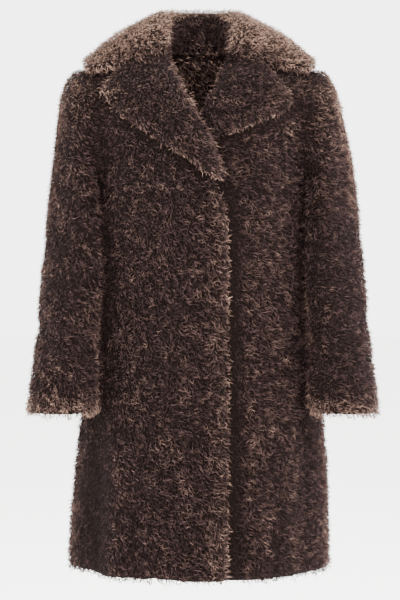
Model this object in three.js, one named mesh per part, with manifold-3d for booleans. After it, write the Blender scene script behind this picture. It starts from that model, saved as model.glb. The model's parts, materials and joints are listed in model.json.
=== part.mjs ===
// A knee-length faux fur coat with a wide turned-down collar and notched lapels, hollow as worn.
// Millimetres, Z up. The front faces -Y, and +X is the wearer's left.
// The origin lies midway between the points where the shoulder seams meet the neck.
// Every wall is backing and pile together, so its outer face is where the pile ends.
import * as THREE from "three";
import { mergeVertices } from "three/addons/utils/BufferGeometryUtils.js";
import Module from "manifold-3d";

// Driving sizes
const HEM_Z = -891;
const CLOTH = 12; // backing and pile of a single layer
const SEAM_GAP = 0.4; // between pieces that are sewn together
const CUT_GAP = 0.8; // between pieces where one is cut to the form of the other
const LAP_EDGE = 52; // how far the right front passes the middle
const UNDERLAP_EDGE = 22; // how far the left front runs on under it
const PRESSED = 5; // what the pile of the underlap gives
const LAP_LIFT = 8.4; // how far the right front is lifted by the underlap
const LAPEL_TAIL_LIFT = 6; // and by the left lapel's hidden tail
const SECTION_ROUNDNESS = 2.3; // exponent of the superellipse that each section follows
const SHOULDER_DROP = 1.3; // exponent of the fall of a row from the middle to its side
const LAP_SLOPE = { right: [-80, -28], left: [-100, -60] }; // x over which a front reaches its lift
const LAPEL_TAIL = { low: -245, high: -180, far: 95, near: 50 }; // z and x where the hidden tail ends

// Armhole, a ring in a steep plane between the shoulder point and the underarm
const SHOULDER = { x: 197, z: -27 };
const UNDERARM = { x: 173, z: -246 };
const ARMHOLE_HALF_DEPTH = 70;
const ARMHOLE_DIP = 16; // how far its front and back curve in over the chest
const ARMHOLE_LEAN = 0.35; // how far the cloth still faces sideways at its front and back
const ARMHOLE_NEAR = { from: 0.84, to: 0.99 }; // share of the half width where the cloth turns to it

// Sections below the armhole: height, half width, reach to the front and reach to the back
const SKIRT_ROWS = [
  { z: HEM_Z, side: 225, front: 152, back: 138 },
  { z: -785, side: 219, front: 150, back: 134 },
  { z: -656, side: 206, front: 147, back: 128 },
  { z: -540, side: 192, front: 143, back: 119 },
  { z: -425, side: 180, front: 138, back: 108 },
  { z: -330, side: 174, front: 139, back: 107 },
];

// Rows from the underarm to the shoulder seam. turn is the place of the row's end on the armhole,
// from 1 at the underarm to 0 at the shoulder, and neck is where the row starts beside the roll line.
const CHEST_ROWS = [
  { z: -246, turn: 1, front: 140, back: 113, neckRight: -46, neckLeft: -22 },
  { z: -205, turn: 0.86, front: 137, back: 117, neckRight: -33, neckLeft: -22 },
  { z: -165, turn: 0.72, front: 133, back: 118, neckRight: -19, neckLeft: -16 },
  { z: -125, turn: 0.58, front: 126, back: 115, neckRight: -2, neckLeft: -1 },
  { z: -88, turn: 0.44, front: 114, back: 108, neckRight: 18, neckLeft: 18 },
  { z: -52, turn: 0.31, front: 94, back: 96, neckRight: 37, neckLeft: 37 },
  { z: -22, turn: 0.18, front: 62, back: 82, neckRight: 52, neckLeft: 52 },
  { z: 4, turn: 0.08, front: 25, back: 48, neckRight: 63, neckLeft: 63 },
  { z: 22, turn: 0, front: -6, back: 6, neckRight: 74, neckLeft: 74 },
];

// Soft vertical folds of the skirt: place round the body in degrees from +X, half width, depth
const SKIRT_FOLDS = [
  { at: -148, halfWidth: 15, depth: -10 },
  { at: -122, halfWidth: 18, depth: 5 },
  { at: -62, halfWidth: 16, depth: 4 },
  { at: -37, halfWidth: 15, depth: -8 },
  { at: 38, halfWidth: 18, depth: -9 },
  { at: 68, halfWidth: 16, depth: 6 },
  { at: 97, halfWidth: 14, depth: -8 },
  { at: 128, halfWidth: 18, depth: 6 },
  { at: 152, halfWidth: 14, depth: -7 },
];
const FOLDS_START_Z = -400;
const LEFT_FULLNESS = 10;
const FULLNESS_Z = { start: -60, full: -200, fade: -640 };

// Sleeve rings from the armhole to the cuff. A ring runs between its outer and inner point, each x and z,
// and reaches halfDepth to the front and the back of midY. toeIn turns its front towards the body.
const SLEEVE_RINGS = [
  { outer: [197.6, -27], inner: [173.6, -246.6], midY: 0, halfDepth: 70, toeIn: 0, swing: 0 },
  { outer: [211, -19], inner: [174, -250], midY: -1, halfDepth: 74, toeIn: 0, swing: 0 },
  { outer: [224, -33], inner: [172, -254], midY: -2, halfDepth: 77, toeIn: 0.02, swing: 0.1 },
  { outer: [236, -62], inner: [172, -259], midY: -4, halfDepth: 79, toeIn: 0.05, swing: 0.3 },
  { outer: [242, -104], inner: [172, -266], midY: -6, halfDepth: 80, toeIn: 0.1, swing: 0.5 },
  { outer: [247, -156], inner: [171, -277], midY: -10, halfDepth: 80, toeIn: 0.16, swing: 0.8 },
  { outer: [254, -213], inner: [170, -296], midY: -15, halfDepth: 78, toeIn: 0.24, swing: 1 },
  { outer: [261, -290], inner: [169, -325], midY: -25, halfDepth: 75, toeIn: 0.31, swing: 1 },
  { outer: [268, -370], inner: [169, -385], midY: -42, halfDepth: 71, toeIn: 0.3, swing: 1 },
  { outer: [275, -450], inner: [169, -455], midY: -60, halfDepth: 66, toeIn: 0.2, swing: 1 },
  { outer: [281, -530], inner: [168, -530], midY: -80, halfDepth: 61, toeIn: 0.1, swing: 1 },
  { outer: [288, -585], inner: [169, -585], midY: -94, halfDepth: 58, toeIn: 0.05, swing: 1 },
  { outer: [291, -616], inner: [172, -616], midY: -101, halfDepth: 57, toeIn: 0, swing: 1 },
];
const SLEEVE_SWING = { right: 0, left: 4 }; // how far each sleeve hangs out from the rings' places
const SLEEVE_CLEAR = 1; // least room between a sleeve and the body

// Lapel rows from the gorge seam to the break: roll line and outer edge, each x and z from the middle
// towards the lapel's own side. thick is its wall there.
const LAPEL_ROWS = {
  right: [
    { roll: [51, -6], edge: [116, -15], thick: 13 },
    { roll: [46, -22], edge: [137, -33], thick: 13 },
    { roll: [41, -34], edge: [154, -50], thick: 13 },
    { roll: [36, -47], edge: [166, -66], thick: 13 },
    { roll: [27, -66], edge: [150, -86], thick: 13 },
    { roll: [17, -86], edge: [126, -113], thick: 13 },
    { roll: [5, -110], edge: [98, -131], thick: 13 },
    { roll: [-8, -135], edge: [71, -150], thick: 13 },
    { roll: [-20, -161], edge: [43, -168], thick: 13 },
    { roll: [-29, -184], edge: [17, -187], thick: 13 },
    { roll: [-35, -202], edge: [-6, -206], thick: 12 },
    { roll: [-40, -216], edge: [-28, -218], thick: 10 },
  ],
  left: [
    { roll: [51, -6], edge: [113, -16], thick: 13 },
    { roll: [46, -22], edge: [127, -40], thick: 13 },
    { roll: [40, -36], edge: [143, -60], thick: 13 },
    { roll: [33, -52], edge: [157, -83], thick: 13 },
    { roll: [25, -70], edge: [146, -98], thick: 13 },
    { roll: [16, -88], edge: [126, -110], thick: 13 },
    { roll: [8, -104], edge: [100, -120], thick: 13 },
    { roll: [0, -121], edge: [70, -134], thick: 11 },
    { roll: [-5, -136], edge: [42, -147], thick: 6 },
    { roll: [-9, -149], edge: [20, -158], thick: 4.5 },
    { roll: [-13, -162], edge: [-3, -168], thick: 4.5 },
  ],
};
const ROLL_PUFF = 5; // how far the roll stands off the front
const FRONT_INSET = 13; // how far the front's own edge lies behind the roll line
const LAPEL_SINK = 2; // how far a lapel reaches into its front before that is cut away

// Collar stations from the middle of the back to the gorge seam, x y z. The line runs up the stand's neck
// side, over the roll and down the upper face of the fall to its edge.
const COLLAR_STATIONS = [
  { base: [0, 43, 14], stand: [0, 42, 45], rise: [0, 48, 78], top: [0, 64, 93],
    fall: [0, 82, 78], middle: [0, 97, 34], edge: [0, 113, -24] },
  { base: [28, 38, 14], stand: [27, 37, 45], rise: [28, 42, 77], top: [38, 56, 92],
    fall: [50, 72, 77], middle: [63, 90, 33], edge: [76, 107, -26] },
  { base: [48, 19, 13], stand: [46, 18, 42], rise: [47, 19, 71], top: [60, 28, 85],
    fall: [82, 42, 76], middle: [114, 64, 44], edge: [146, 86, -20] },
  { base: [55, -8, 12], stand: [52, -10, 34], rise: [53, -11, 58], top: [65, -7, 74],
    fall: [94, 4, 65], middle: [148, 18, 41], edge: [203, 34, -8] },
  { base: [55, -38, 4], stand: [53, -39, 16], rise: [54, -41, 29], top: [64, -41, 40],
    fall: [90, -34, 38], middle: [142, -22, 22], edge: [203, -12, -11] },
  { base: [50, -52, -18], stand: [48, -55, -14], rise: [50, -59, -9], top: [60, -62, -5],
    fall: [84, -61, -9], middle: [117, -58, -16], edge: [191, -43, -21] },
];
const COLLAR_THICK = 13;
const COLLAR_GORGE_THICK = 5; // at the tight end of the roll
const GORGE_SHARE = 0.16; // share of the collar's length over which each end gets thin
const ROLL_SHARE = { from: 0.35, to: 0.6 }; // share of the line across where the thin part ends

const FACING_SINK = 2; // how far the facing reaches into the back before that is cut away
const BACK_FACING = { shareLimit: 0.25, fromRow: 3.2, thick: 9 };
const NECK_SHARE = 0.36; // share of the back's half width that the neckline takes
const NECK_BACK = { y: 60, z: 12 }; // the neckline's lowest point, at the middle of the back
const BACK_BULGE = 9; // how far the shoulder blades round the back out
const SHOULDER_LEAN = 0.25; // how far the cloth on the shoulder faces sideways

// Grid sizes
const PANEL_COLUMNS = 12;
const BACK_COLUMNS = 22;
const SLEEVE_SIDES = 22;
const LAPEL_COLUMNS = 7;
const COLLAR_COLUMNS = 14;
const COLLAR_SPAN_STEPS = 26;
const FACING_COLUMNS = 5; // on each side of the middle
const STEPS_A_ROW = 1.5;
const SEARCH_STEPS = 28;
const SLOPE_STEP = { x: 0.5, place: 0.02 }; // over which the slope of the cloth is taken

const wasm = await Module();
wasm.setup();

const smooth = (low, high, value) => THREE.MathUtils.smoothstep(value, low, high);

// The value of a named column of a table at a place between its rows, on a smooth curve
function tableAt(rows, place, column) {
  const last = rows.length - 1;
  const index = Math.min(Math.floor(place), last - 1);
  const t = place - index;
  const [a, b, c, d] = [index - 1, index, index + 1, index + 2].map(
    (i) => rows[THREE.MathUtils.clamp(i, 0, last)][column],
  );
  const slopeIn = (c - a) / 2;
  const slopeOut = (d - b) / 2;
  const cubic = 2 * (b - c) + slopeIn + slopeOut;
  const square = 3 * (c - b) - 2 * slopeIn - slopeOut;
  return ((cubic * t + square) * t + slopeIn) * t + b;
}

// The armhole's edge. turn runs from 1 at the underarm to 0 at the shoulder.
function armholePoint(turn) {
  const angle = turn * Math.PI;
  const share = (1 + Math.cos(angle)) / 2;
  return {
    side: THREE.MathUtils.lerp(UNDERARM.x, SHOULDER.x, share) - ARMHOLE_DIP * Math.sin(angle) ** 2,
    sideY: ARMHOLE_HALF_DEPTH * Math.sin(angle),
    sideZ: THREE.MathUtils.lerp(UNDERARM.z, SHOULDER.z, share),
  };
}

// The rows of the body, each with the place where it meets the side seam or the armhole
function bodyRows() {
  const skirt = SKIRT_ROWS.map((row) => ({
    ...row,
    turn: 1,
    sideZ: row.z,
    sideY: 0,
    neckRight: -LAP_EDGE,
    neckLeft: -UNDERLAP_EDGE,
  }));
  const chest = CHEST_ROWS.map((row) => ({ ...row, ...armholePoint(row.turn) }));
  return [...skirt, ...chest];
}

const BODY = bodyRows();
const TOP_ROW = BODY.length - 1;
const UNDERARM_ROW = SKIRT_ROWS.length;

function skirtFold(angle, z) {
  const fade = smooth(-FOLDS_START_Z, -HEM_Z, -z);
  return SKIRT_FOLDS.reduce((sum, fold) => {
    let away = Math.abs(THREE.MathUtils.radToDeg(angle) - fold.at);
    away = Math.min(away, 360 - away);
    return sum + fade * fold.depth * Math.exp(-((away / fold.halfWidth) ** 2) * 2);
  }, 0);
}

// A point of the body's outer face. face is -1 at the front and +1 at the back.
function bodyPoint(face, x, place) {
  const column = (name) => tableAt(BODY, place, name);
  const side = column("side");
  const sideY = Math.max(0, column("sideY"));
  const reach = column(face < 0 ? "front" : "back");
  const share = Math.min(1, Math.abs(x) / side);
  const round = (part) => (1 - part ** SECTION_ROUNDNESS) ** (1 / SECTION_ROUNDNESS);
  const z = THREE.MathUtils.lerp(column("z"), column("sideZ"), share ** SHOULDER_DROP);
  // Below the shoulder the section is cut off at the armhole, and at the shoulder it closes on it
  const cutOff = reach * round(share * round(Math.min(0.9, sideY / Math.abs(reach))));
  const closed = sideY + (reach - sideY) * round(share);
  const y = face * THREE.MathUtils.lerp(cutOff, closed, smooth(TOP_ROW - 2, TOP_ROW - 0.8, place));
  const away = new THREE.Vector3(x / side ** 2, y / reach ** 2, 0).normalize();
  const fold = skirtFold(Math.atan2(y / reach, x / side), z);
  return new THREE.Vector3(x, y, z).addScaledVector(away, fold);
}

// The outward direction at the armhole's edge, where the rows run along it
function armholeNormal(face, x, place) {
  const turn = Math.PI * THREE.MathUtils.clamp(tableAt(BODY, place, "turn"), 0, 1);
  const out = ARMHOLE_LEAN + (1 - ARMHOLE_LEAN) * Math.max(0, -Math.cos(turn));
  const up = Math.max(0, Math.cos(turn));
  return new THREE.Vector3(Math.sign(x) * out, face * Math.sin(turn), up).normalize();
}

// The outward direction that the slope of the outer face gives
function slopeNormal(face, x, place) {
  const { x: stepX, place: stepUp } = SLOPE_STEP;
  const limit = tableAt(BODY, place, "side") - stepX;
  const at = THREE.MathUtils.clamp(x, -limit, limit);
  const row = THREE.MathUtils.clamp(place, stepUp, TOP_ROW - stepUp);
  const across = bodyPoint(face, at + stepX, row).sub(bodyPoint(face, at - stepX, row));
  const up = bodyPoint(face, at, row + stepUp).sub(bodyPoint(face, at, row - stepUp));
  return face < 0 ? across.cross(up).normalize() : up.cross(across).normalize();
}

// The outward direction of the body's outer face
function bodyNormal(face, x, place) {
  const share = Math.abs(x) / tableAt(BODY, place, "side");
  const nearSide = smooth(ARMHOLE_NEAR.from, ARMHOLE_NEAR.to, share);
  const nearArmhole = nearSide * smooth(UNDERARM_ROW - 1, UNDERARM_ROW, place);
  return slopeNormal(face, x, place).lerp(armholeNormal(face, x, place), nearArmhole).normalize();
}

// How far a front's outer face stands off the body there
function frontLift(side, x, z) {
  if (side === "left") return -PRESSED * smooth(...LAP_SLOPE.left, -x);
  const lapped = smooth(...LAP_SLOPE.right, x);
  const tail = smooth(LAPEL_TAIL.low, LAPEL_TAIL.high, z) * smooth(LAPEL_TAIL.near, LAPEL_TAIL.far, -z);
  return lapped * (LAP_LIFT + LAPEL_TAIL_LIFT * tail);
}

const OWN = { right: -1, left: 1 }; // the sign of x on each side of the wearer

function onFront(side, x, place, level) {
  const point = bodyPoint(-1, x, place);
  const normal = bodyNormal(-1, x, place);
  return point.addScaledVector(normal, frontLift(side, x, point.z) + level);
}

// The point at a level over a front that has the wanted x and height
function onFrontAt(side, x, z, level) {
  let [low, high] = [UNDERARM_ROW - 2, TOP_ROW];
  for (let i = 0; i < SEARCH_STEPS; i++) {
    const middle = (low + high) / 2;
    if (onFront(side, x, middle, level).z < z) low = middle;
    else high = middle;
  }
  return onFront(side, x, low, level);
}

// A closed solid between two grids of points, whose rows may be rings
function wall(outer, inner, ring = false) {
  const rows = outer.length;
  const columns = outer[0].length;
  const positions = [outer, inner].flat(2).flatMap((p) => [p.x, p.y, p.z]);
  const index = [];
  const at = (face, row, column) => (face * rows + row) * columns + (column % columns);
  const quad = (a, b, c, d) => index.push(a, b, c, a, c, d);
  const spans = ring ? columns : columns - 1;
  for (let i = 0; i < rows - 1; i++) {
    for (let j = 0; j < spans; j++) {
      quad(at(0, i, j), at(0, i, j + 1), at(0, i + 1, j + 1), at(0, i + 1, j));
      quad(at(1, i, j), at(1, i + 1, j), at(1, i + 1, j + 1), at(1, i, j + 1));
    }
  }
  for (let j = 0; j < spans; j++) {
    quad(at(0, 0, j), at(1, 0, j), at(1, 0, j + 1), at(0, 0, j + 1));
    quad(at(0, rows - 1, j), at(0, rows - 1, j + 1), at(1, rows - 1, j + 1), at(1, rows - 1, j));
  }
  for (let i = 0; !ring && i < rows - 1; i++) {
    quad(at(0, i, 0), at(0, i + 1, 0), at(1, i + 1, 0), at(1, i, 0));
    quad(at(0, i, spans), at(1, i, spans), at(1, i + 1, spans), at(0, i + 1, spans));
  }
  return facingOut(positions, index);
}

// Turns the faces round where a mirrored grid left them facing in
function facingOut(positions, index) {
  let volume = 0;
  const corner = (i) => new THREE.Vector3().fromArray(positions, 3 * i);
  for (let i = 0; i < index.length; i += 3) {
    const [a, b, c] = [corner(index[i]), corner(index[i + 1]), corner(index[i + 2])];
    volume += a.dot(b.cross(c));
  }
  if (volume < 0) index.reverse();
  const geometry = new THREE.BufferGeometry();
  geometry.setAttribute("position", new THREE.Float32BufferAttribute(positions, 3));
  geometry.setIndex(index);
  return geometry;
}

// Places along a table, with each span between two rows cut into equal steps
function placesAlong(from, to, steps) {
  const count = Math.round((to - from) * steps);
  return Array.from({ length: count + 1 }, (_, i) => from + ((to - from) * i) / count);
}

// The x of a column of a row that runs from its start to its side, closer where the section turns
function columnX(share, start, side) {
  const part = Math.min(1, Math.abs(start) / side);
  const startAngle = Math.sign(start) * Math.asin(part ** (SECTION_ROUNDNESS / 2));
  const angle = THREE.MathUtils.lerp(startAngle, Math.PI / 2, share);
  return side * Math.sign(angle) * Math.abs(Math.sin(angle)) ** (2 / SECTION_ROUNDNESS);
}

// A seam keeps the wall square to it, so that two panels meet without crossing
function squareToSeam(normal, atSeam) {
  if (atSeam) normal.y = 0;
  return normal.normalize();
}

function frontPanel(side, grow = 0) {
  const start = side === "right" ? "neckRight" : "neckLeft";
  const rows = placesAlong(0, TOP_ROW, STEPS_A_ROW);
  const outer = [];
  const inner = [];
  rows.forEach((place) => {
    const sideX = tableAt(BODY, place, "side");
    const inset = FRONT_INSET * smooth(UNDERARM_ROW - 0.2, UNDERARM_ROW + 0.8, place);
    const first = tableAt(BODY, place, start) + inset - grow;
    const outerRow = [];
    const innerRow = [];
    for (let j = 0; j <= PANEL_COLUMNS; j++) {
      const x = OWN[side] * columnX(j / PANEL_COLUMNS, first, sideX);
      const atSeam = place === TOP_ROW || j === PANEL_COLUMNS;
      const normal = squareToSeam(bodyNormal(-1, x, place), atSeam);
      const base = bodyPoint(-1, x, place);
      if (atSeam) base.y += grow - SEAM_GAP / 2;
      const lift = frontLift(side, x, base.z);
      outerRow.push(base.clone().addScaledVector(normal, lift + grow));
      innerRow.push(base.clone().addScaledVector(normal, Math.max(0, lift) - CLOTH - grow));
    }
    outer.push(outerRow);
    inner.push(innerRow);
  });
  return wall(outer, inner);
}

// The back's top edge: the neckline from the middle, then the shoulder seam. share runs from 0 to 1.
function backTop(share) {
  const neckX = BODY[TOP_ROW].neckRight + FRONT_INSET;
  if (share >= NECK_SHARE) {
    const seam = (share - NECK_SHARE) / (1 - NECK_SHARE);
    return bodyPoint(1, THREE.MathUtils.lerp(neckX, SHOULDER.x, seam), TOP_ROW);
  }
  const turn = ((share / NECK_SHARE) * Math.PI) / 2;
  const point = bodyPoint(1, neckX * Math.sin(turn), TOP_ROW);
  const corner = bodyPoint(1, neckX, TOP_ROW);
  const back = Math.cos(turn);
  point.y = THREE.MathUtils.lerp(corner.y, NECK_BACK.y, back);
  point.z = THREE.MathUtils.lerp(corner.z, NECK_BACK.z, back);
  return point;
}

// A row of the back's outer face and its outward directions, from one armhole to the other
function backRow(place, columns, shareLimit) {
  const lastFull = TOP_ROW - 2;
  const rise = Math.max(0, (place - lastFull) / 2);
  const below = Math.min(place, lastFull);
  const sideX = tableAt(BODY, below, "side");
  const row = [];
  for (let j = -columns; j <= columns; j++) {
    const share = (shareLimit * Math.abs(j)) / columns;
    const x = columnX(share, 0, sideX);
    const atSeam = rise === 1 || share === 1;
    const normal = squareToSeam(bodyNormal(1, x, below), share === 1);
    const point = bodyPoint(1, x, below);
    if (rise > 0) {
      const bulge = BACK_BULGE * Math.sin(rise * Math.PI);
      const onShoulder = rise === 1 && share >= NECK_SHARE;
      const up = onShoulder ? new THREE.Vector3(SHOULDER_LEAN, 0, 1) : normal.clone();
      point.lerp(backTop(share), rise).addScaledVector(normal, share === 1 ? 0 : bulge);
      normal.lerp(up, rise).normalize();
      if (share === 1) {
        const edge = armholePoint(BODY[lastFull].turn * (1 - rise));
        point.set(edge.side, edge.sideY, edge.sideZ);
      }
    }
    if (atSeam) point.y += SEAM_GAP / 2;
    const sign = Math.sign(j) || 1;
    row.push({
      point: new THREE.Vector3(sign * point.x, point.y, point.z),
      normal: new THREE.Vector3(sign * normal.x, normal.y, normal.z),
    });
  }
  return row;
}

function backGrids(places, columns, shareLimit, level, thick) {
  const rows = places.map((place) => backRow(place, columns, shareLimit));
  const moved = (distance) =>
    rows.map((row) => row.map(({ point, normal }) => point.clone().addScaledVector(normal, distance)));
  return wall(moved(level), moved(level - thick));
}

function backPanel(grow = 0) {
  const places = placesAlong(0, TOP_ROW, STEPS_A_ROW);
  return backGrids(places, BACK_COLUMNS / 2, 1, grow, CLOTH + 2 * grow);
}

function backNeckFacing() {
  const { shareLimit, fromRow, thick } = BACK_FACING;
  const places = placesAlong(UNDERARM_ROW + fromRow, TOP_ROW, STEPS_A_ROW);
  return backGrids(places, FACING_COLUMNS, shareLimit, FACING_SINK - CLOTH, thick);
}

// How far the body's side lies from the middle at a point
function bodyHalfWidth(y, z) {
  if (z > UNDERARM.z) {
    const share = Math.min(1, (z - UNDERARM.z) / (SHOULDER.z - UNDERARM.z));
    const dip = ARMHOLE_DIP * Math.min(1, (y / ARMHOLE_HALF_DEPTH) ** 2);
    return THREE.MathUtils.lerp(UNDERARM.x, SHOULDER.x, share) - dip;
  }
  let place = 0;
  while (BODY[Math.floor(place) + 1].z < z) place += 1;
  const low = BODY[place];
  const high = BODY[place + 1];
  place += (z - low.z) / (high.z - low.z);
  const reach = tableAt(BODY, place, y < 0 ? "front" : "back");
  const share = Math.min(1, Math.abs(y) / reach);
  return tableAt(BODY, place, "side") * (1 - share ** SECTION_ROUNDNESS) ** (1 / SECTION_ROUNDNESS);
}

function sleevePoint(side, place, angle, inset) {
  const ends = ["outer", "inner"].map((name) =>
    [0, 1].map((axis) => tableAt(SLEEVE_RINGS.map((ring) => ({ value: ring[name][axis] })), place, "value")),
  );
  const column = (name) => tableAt(SLEEVE_RINGS, place, name);
  const [[outerX, outerZ], [innerX, innerZ]] = ends;
  const half = Math.hypot(outerX - innerX, outerZ - innerZ) / 2;
  const reach = ((half - inset) / half) * Math.cos(angle);
  const y = -(column("halfDepth") - inset) * Math.sin(angle);
  const swing = SLEEVE_SWING[side] * column("swing");
  const dip = ARMHOLE_DIP * Math.sin(angle) ** 2 * (1 - smooth(0, 4, place));
  const across = ((outerX - innerX) / 2) * reach + column("toeIn") * y;
  const x = (outerX + innerX) / 2 + across + swing - dip;
  const z = (outerZ + innerZ) / 2 + ((outerZ - innerZ) / 2) * reach;
  const worldY = y + column("midY");
  const clear = place === 0 ? 0 : bodyHalfWidth(worldY, z) + SLEEVE_CLEAR + inset;
  return new THREE.Vector3(OWN[side] * Math.max(x, clear), worldY, z);
}

function sleeve(side) {
  const ring = (place, inset) =>
    Array.from({ length: SLEEVE_SIDES }, (_, j) =>
      sleevePoint(side, place, (2 * Math.PI * j) / SLEEVE_SIDES, inset),
    );
  const places = placesAlong(0, SLEEVE_RINGS.length - 1, STEPS_A_ROW);
  return wall(
    places.map((place) => ring(place, 0)),
    places.map((place) => ring(place, CLOTH)),
    true,
  );
}

// A lapel's section from the roll line to its edge, as distance from the roll and level over the front.
// It wraps the front's own edge at the roll, and a thin lapel has no puff there.
function lapelSection(width, thick) {
  const puff = ROLL_PUFF * smooth(5, COLLAR_THICK, thick);
  const roll = [
    { outer: [0, -6], inner: [thick - 1.5, -6] },
    { outer: [1, thick * 0.45], inner: [thick - 1, -2] },
    { outer: [6, thick + puff * 0.7], inner: [thick, -LAPEL_SINK] },
  ];
  const flat = [];
  for (let j = 1; j <= LAPEL_COLUMNS; j++) {
    const share = j / LAPEL_COLUMNS;
    const from = thick + 3;
    const at = THREE.MathUtils.lerp(from, Math.max(width, from + 4), share);
    const edge = j === LAPEL_COLUMNS ? 2 : 0;
    flat.push({ outer: [at, thick + puff * (1 - share) ** 2 - edge], inner: [at, -LAPEL_SINK] });
  }
  return [...roll, ...flat];
}

function lapel(side) {
  const rows = LAPEL_ROWS[side];
  const outer = [];
  const inner = [];
  placesAlong(0, rows.length - 1, 1).forEach((place) => {
    const { roll, edge, thick } = rows[place];
    const width = Math.hypot(edge[0] - roll[0], edge[1] - roll[1]);
    const pointAt = ([distance, level]) => {
      const share = distance / width;
      const x = THREE.MathUtils.lerp(roll[0], edge[0], share);
      const z = THREE.MathUtils.lerp(roll[1], edge[1], share);
      return onFrontAt(side, OWN[side] * x, z, level);
    };
    const section = lapelSection(width, thick);
    outer.push(section.map((column) => pointAt(column.outer)));
    inner.push(section.map((column) => pointAt(column.inner)));
  });
  return wall(outer, inner);
}

// The collar's neck-side and upper face as a grid, from one gorge seam round the back to the other
function collarFace() {
  const names = Object.keys(COLLAR_STATIONS[0]);
  const rails = names.map((name) => {
    const half = COLLAR_STATIONS.map((station) => new THREE.Vector3(...station[name]));
    const mirrored = half.slice(1).reverse().map((p) => new THREE.Vector3(-p.x, p.y, p.z));
    return new THREE.CatmullRomCurve3([...mirrored, ...half], false, "centripetal");
  });
  const grid = [];
  for (let i = 0; i <= COLLAR_SPAN_STEPS; i++) {
    const station = rails.map((rail) => rail.getPoint(i / COLLAR_SPAN_STEPS));
    const line = new THREE.CatmullRomCurve3(station, false, "centripetal");
    grid.push(line.getSpacedPoints(COLLAR_COLUMNS));
  }
  return grid;
}

function gridNormal(grid, i, j) {
  const last = grid.length - 1;
  const end = grid[0].length - 1;
  const along = grid[Math.min(i + 1, last)][j].clone().sub(grid[Math.max(i - 1, 0)][j]);
  const across = grid[i][Math.min(j + 1, end)].clone().sub(grid[i][Math.max(j - 1, 0)]);
  return along.cross(across).normalize();
}

function collar(grow) {
  const face = collarFace();
  const last = face.length - 1;
  const endward = (i, j) => {
    const row = face[THREE.MathUtils.clamp(i, 1, last - 1)];
    const inward = row[THREE.MathUtils.clamp(j, 1, COLLAR_COLUMNS - 1)];
    return face[i][j].clone().sub(inward).setLength(grow);
  };
  const movedPoint = (point, i, j, distance) =>
    point.clone().addScaledVector(gridNormal(face, i, j), distance(i, j)).add(endward(i, j));
  const moved = (distance) =>
    face.map((row, i) => row.map((point, j) => movedPoint(point, i, j, distance)));
  return wall(moved(() => grow), moved((i, j) => -collarThick(i / last, j / COLLAR_COLUMNS) - grow));
}

function collarThick(round, across) {
  const toEnd = 1 - smooth(0, GORGE_SHARE, Math.min(round, 1 - round));
  const onRoll = 1 - smooth(ROLL_SHARE.from, ROLL_SHARE.to, across);
  return THREE.MathUtils.lerp(COLLAR_THICK, COLLAR_GORGE_THICK, toEnd * onRoll);
}

function solidOf(geometry) {
  const bare = mergeVertices(geometry, 1e-4);
  return new wasm.Manifold(
    new wasm.Mesh({
      numProp: 3,
      vertProperties: bare.attributes.position.array,
      triVerts: new Uint32Array(bare.index.array),
    }),
  );
}

function largestBody(solid) {
  return solid.decompose().sort((a, b) => b.volume() - a.volume())[0];
}

function geometryOf(solid) {
  const mesh = solid.getMesh();
  const geometry = new THREE.BufferGeometry();
  geometry.setAttribute("position", new THREE.BufferAttribute(mesh.vertProperties, 3));
  geometry.setIndex(new THREE.BufferAttribute(mesh.triVerts, 1));
  return geometry;
}

// A piece with its neighbours, drawn a little larger, taken away where they meet it
function cutBy(geometry, cutters) {
  const left = cutters.reduce((solid, cutter) => solid.subtract(solidOf(cutter)), solidOf(geometry));
  return geometryOf(largestBody(left));
}

const fur = { color: 0x54443d, roughness: 0.95, metalness: 0 };
const shadedFur = { color: 0x3a2f2b, roughness: 0.95, metalness: 0 };

const coat = new THREE.Group();

// The wearer's left side of the coat hangs a little fuller between the armhole and the knee
function hangFuller(geometry) {
  const places = geometry.attributes.position;
  for (let i = 0; i < places.count; i++) {
    const [x, z] = [places.getX(i), places.getZ(i)];
    const below = smooth(-FULLNESS_Z.start, -FULLNESS_Z.full, -z);
    const level = below * (1 - smooth(-FULLNESS_Z.fade, -HEM_Z, -z));
    places.setX(i, x + LEFT_FULLNESS * level * smooth(0, SHOULDER.x, x));
  }
  return geometry;
}

function addPiece(name, geometry, finish) {
  hangFuller(geometry);
  const mesh = new THREE.Mesh(geometry, new THREE.MeshStandardMaterial(finish));
  mesh.name = name;
  coat.add(mesh);
}

const grownFronts = ["right", "left"].map((side) => frontPanel(side, CUT_GAP));
const grownCollar = collar(CUT_GAP);

addPiece("back", cutBy(backPanel(), grownFronts), fur);
addPiece("back_neck_facing", cutBy(backNeckFacing(), [backPanel(CUT_GAP), ...grownFronts]), shadedFur);
addPiece("collar", collar(0), fur);
for (const side of ["right", "left"]) {
  addPiece(`front_${side}`, frontPanel(side), fur);
  addPiece(`lapel_${side}`, cutBy(lapel(side), [...grownFronts, grownCollar]), fur);
  addPiece(`sleeve_${side}`, sleeve(side), fur);
}

export default coat;
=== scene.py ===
import json
import math
import bpy
import bmesh
import numpy as np
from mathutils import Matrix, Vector
from mathutils.bvhtree import BVHTree

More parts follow.
